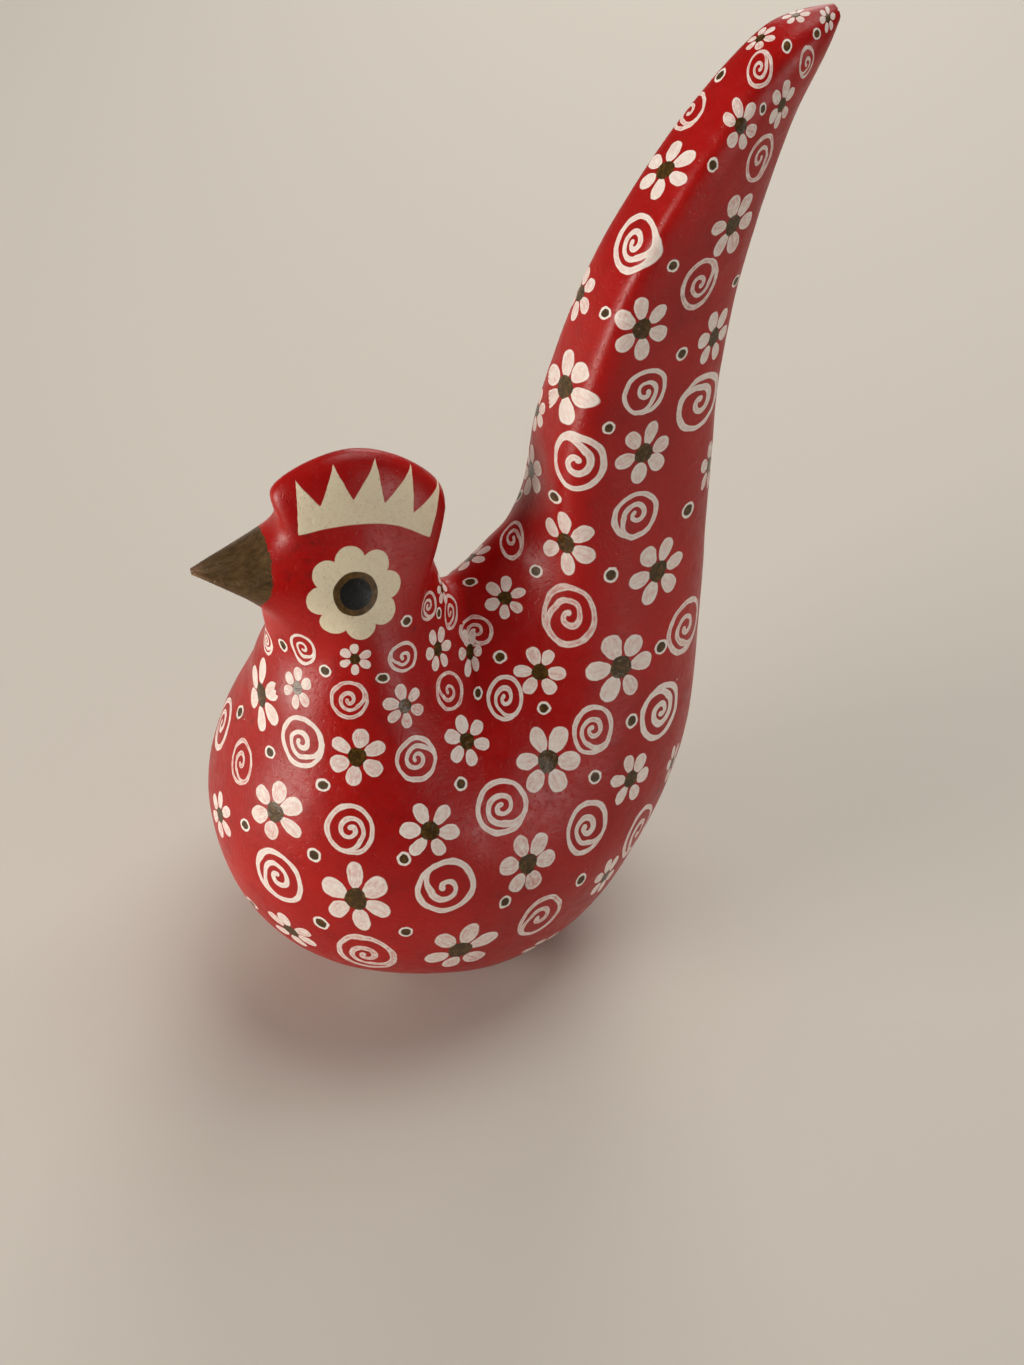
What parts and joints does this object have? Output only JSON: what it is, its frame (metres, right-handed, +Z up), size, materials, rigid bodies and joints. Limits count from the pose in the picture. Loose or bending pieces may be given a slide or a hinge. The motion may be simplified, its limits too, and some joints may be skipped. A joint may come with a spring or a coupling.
{
  "type": "folk art bird",
  "caption": "Painted clay bird ornament: round hollow body, small crested head with a cone beak, and a tall tapering tail, standing on a flat under its belly.",
  "frame": {"origin": "middle of the small flat under the belly that the bird rests on", "axes": "+Z up, beak along -Y, tail over +Y, the bird's left side at +X"},
  "size_m": [0.12, 0.1865, 0.313],
  "materials": {
    "painted_clay": "satin"
  },
  "bodies": {
    "root": {"bird": "painted_clay"}
  },
  "joints": []
}
